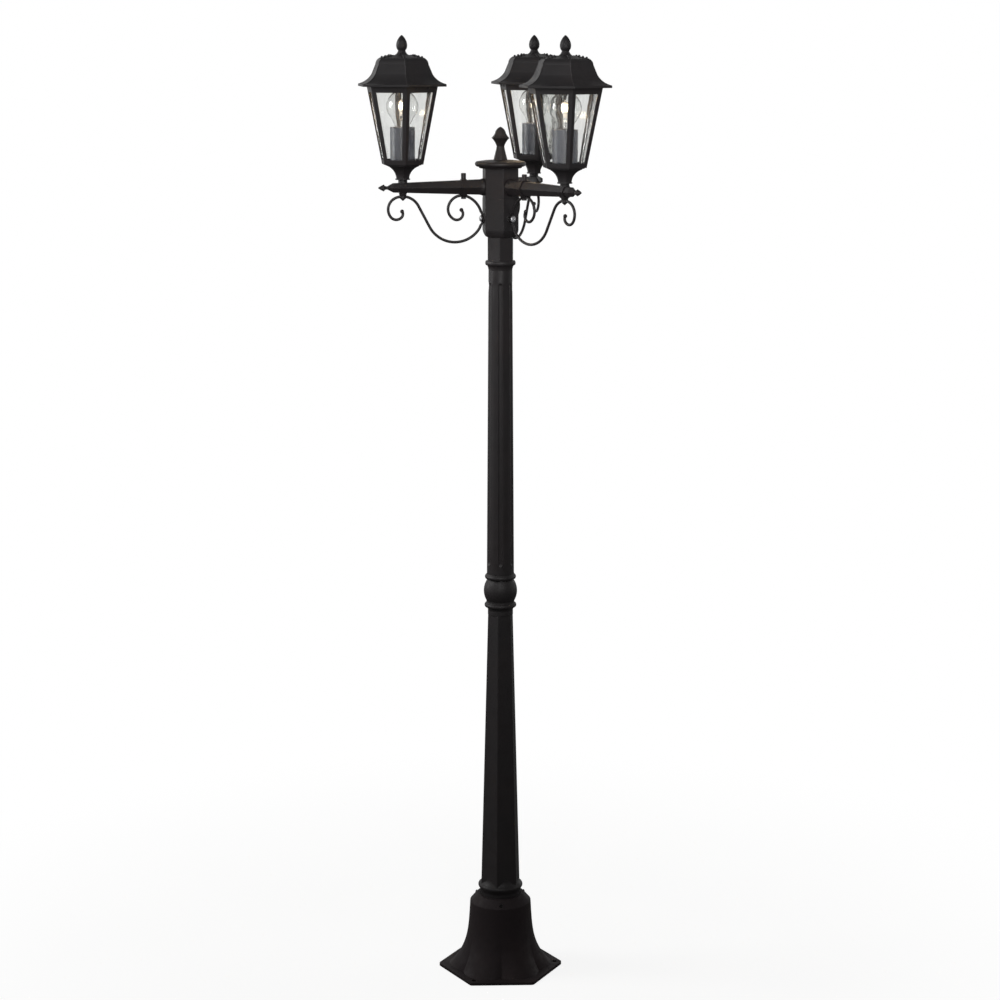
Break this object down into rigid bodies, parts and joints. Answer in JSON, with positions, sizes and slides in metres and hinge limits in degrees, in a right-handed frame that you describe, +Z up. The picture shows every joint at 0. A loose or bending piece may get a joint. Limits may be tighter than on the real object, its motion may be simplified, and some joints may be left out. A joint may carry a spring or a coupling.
{
  "type": "lamp post",
  "caption": "Garden lamp post with a bell foot, a two-part tapering post and six-sided lanterns with lift-off roofs on scroll-braced arms.",
  "frame": {"origin": "on the post's axis at the underside of the foot plate, the centre of the anchor hole circle", "axes": "+Z up along the post; one arm points along -X, the other two at 60 and 300 degrees from +X"},
  "size_m": [0.455, 0.5254, 1.93],
  "materials": {
    "black_coat": "semi-gloss black powder coat on castings",
    "black_tube": "semi-gloss black powder coat on tube and rod",
    "screw_steel": "plated screws",
    "clear_glass": "clear lantern panes",
    "bulb_glass": "clear bulb glass",
    "burner": "lit lamp capsule",
    "sleeve": "dark satin candle sleeve",
    "holder": "black moulded lamp holder",
    "lamp_cap": "bright screw cap",
    "terminal": "cream terminal block"
  },
  "bodies": {
    "post": {"base_casting": "black_coat", "lower_post": "black_coat", "post_knuckle": "black_coat", "neck_casting": "black_coat", "hub_lower": "black_coat", "hub_upper": "black_coat", "hub_cap": "black_coat", "hub_finial": "black_coat", "upper_post": "black_tube", "base_set_screws": "screw_steel", "scroll_screws": "black_coat", "rail_screws": "black_coat", "terminal_block": "terminal", "arm_1": "black_coat", "arm_tip_1": "black_coat", "lantern_funnel_1": "black_coat", "lantern_cage_1": "black_coat", "scroll_1": "black_tube", "scroll_clip_1": "black_tube", "lantern_saddle_1": "black_tube", "lantern_glass_1": "clear_glass", "lamp_holder_1": "holder", "lamp_sleeve_1": "sleeve", "arm_2": "black_coat", "arm_tip_2": "black_coat", "lantern_funnel_2": "black_coat", "lantern_cage_2": "black_coat", "scroll_2": "black_tube", "scroll_clip_2": "black_tube", "lantern_saddle_2": "black_tube", "lantern_glass_2": "clear_glass", "lamp_holder_2": "holder", "lamp_sleeve_2": "sleeve", "arm_3": "black_coat", "arm_tip_3": "black_coat", "lantern_funnel_3": "black_coat", "lantern_cage_3": "black_coat", "scroll_3": "black_tube", "scroll_clip_3": "black_tube", "lantern_saddle_3": "black_tube", "lantern_glass_3": "clear_glass", "lamp_holder_3": "holder", "lamp_sleeve_3": "sleeve"},
    "roof_1": {"lantern_roof_1": "black_coat", "roof_finial_1": "black_coat"},
    "bulb_1": {"lamp_cap_1": "lamp_cap", "bulb_glass_1": "bulb_glass", "lamp_burner_1": "burner"},
    "roof_2": {"lantern_roof_2": "black_coat", "roof_finial_2": "black_coat"},
    "bulb_2": {"lamp_cap_2": "lamp_cap", "bulb_glass_2": "bulb_glass", "lamp_burner_2": "burner"},
    "roof_3": {"lantern_roof_3": "black_coat", "roof_finial_3": "black_coat"},
    "bulb_3": {"lamp_cap_3": "lamp_cap", "bulb_glass_3": "bulb_glass", "lamp_burner_3": "burner"}
  },
  "joints": [
    {"name": "roof_1_lift", "type": "slide", "parent": "post", "child": "roof_1", "axis": [0, 0, 1], "range_m": [0, 0.1]},
    {"name": "bulb_1_unscrew", "type": "slide", "parent": "post", "child": "bulb_1", "axis": [0, 0, 1], "range_m": [0, 0.022]},
    {"name": "roof_2_lift", "type": "slide", "parent": "post", "child": "roof_2", "axis": [0, 0, 1], "range_m": [0, 0.1]},
    {"name": "bulb_2_unscrew", "type": "slide", "parent": "post", "child": "bulb_2", "axis": [0, 0, 1], "range_m": [0, 0.022]},
    {"name": "roof_3_lift", "type": "slide", "parent": "post", "child": "roof_3", "axis": [0, 0, 1], "range_m": [0, 0.1]},
    {"name": "bulb_3_unscrew", "type": "slide", "parent": "post", "child": "bulb_3", "axis": [0, 0, 1], "range_m": [0, 0.022]}
  ]
}
